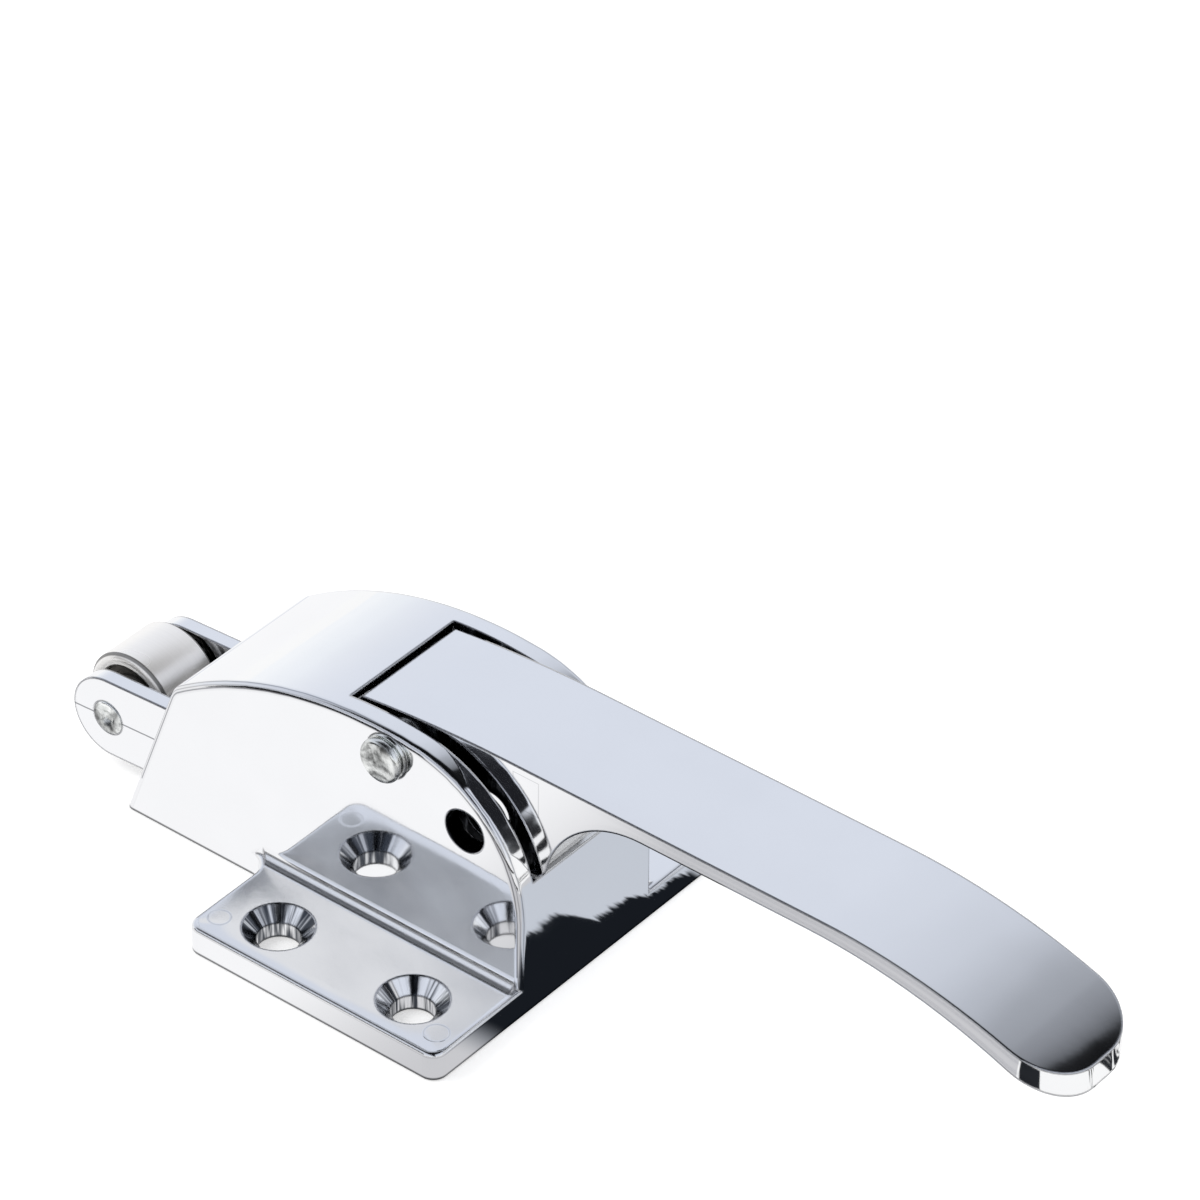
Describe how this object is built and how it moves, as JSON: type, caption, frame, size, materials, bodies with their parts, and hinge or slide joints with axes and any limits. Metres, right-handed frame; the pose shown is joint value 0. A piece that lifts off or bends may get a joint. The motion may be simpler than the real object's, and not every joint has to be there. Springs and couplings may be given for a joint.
{
  "type": "freezer door latch",
  "caption": "Surface-mounted cold-room latch: arched cast body on two drilled flanges, drooping pull handle and sprung bolt with a roller nose.",
  "frame": {"origin": "centre of the four fixing screws, on the face that lies against the door", "axes": "+X towards the handle's tip, +Y across the latch, +Z away from the door"},
  "size_m": [0.2036, 0.0762, 0.0456],
  "materials": {
    "body_chrome": "polished chrome on a die casting",
    "handle_chrome": "polished chrome on a die casting",
    "bolt_chrome": "polished chrome on a die casting, parting line left on the ears",
    "pin_steel": "turned steel, dull zinc",
    "roller_steel": "satin ground steel",
    "bush_bronze": "sintered bronze",
    "spring_steel": "drawn spring wire",
    "plate_steel": "zinc-plated plate"
  },
  "bodies": {
    "body": {"housing": "body_chrome", "pivot_pin": "pin_steel", "spring_stop": "plate_steel", "bolt_spring": "spring_steel"},
    "handle": {"handle": "handle_chrome"},
    "bolt": {"bolt_fork": "bolt_chrome", "spring_guide": "pin_steel", "roller_pin": "pin_steel"},
    "roller": {"roller_sleeve": "roller_steel", "roller_bush": "bush_bronze"}
  },
  "joints": [
    {"name": "handle_pivot", "type": "hinge", "parent": "body", "child": "handle", "pos_m": [-0.0012, 0, 0.0395], "axis": [0, -1, 0], "range_deg": [0, 28]},
    {"name": "bolt_slide", "type": "slide", "parent": "body", "child": "bolt", "axis": [0.9983, 0, 0.0576], "range_m": [0, 0.01174], "stiffness_N_per_m": 1200, "springref_m": -0.01, "deforming": ["bolt_spring"]},
    {"name": "roller_spin", "type": "hinge", "parent": "bolt", "child": "roller", "pos_m": [-0.0676, 0, 0.0108], "axis": [0, 1, 0], "continuous": true}
  ],
  "couplings": [
    {"joint": "bolt_slide", "follows": "handle_pivot", "m_per_rad": 0.024}
  ]
}
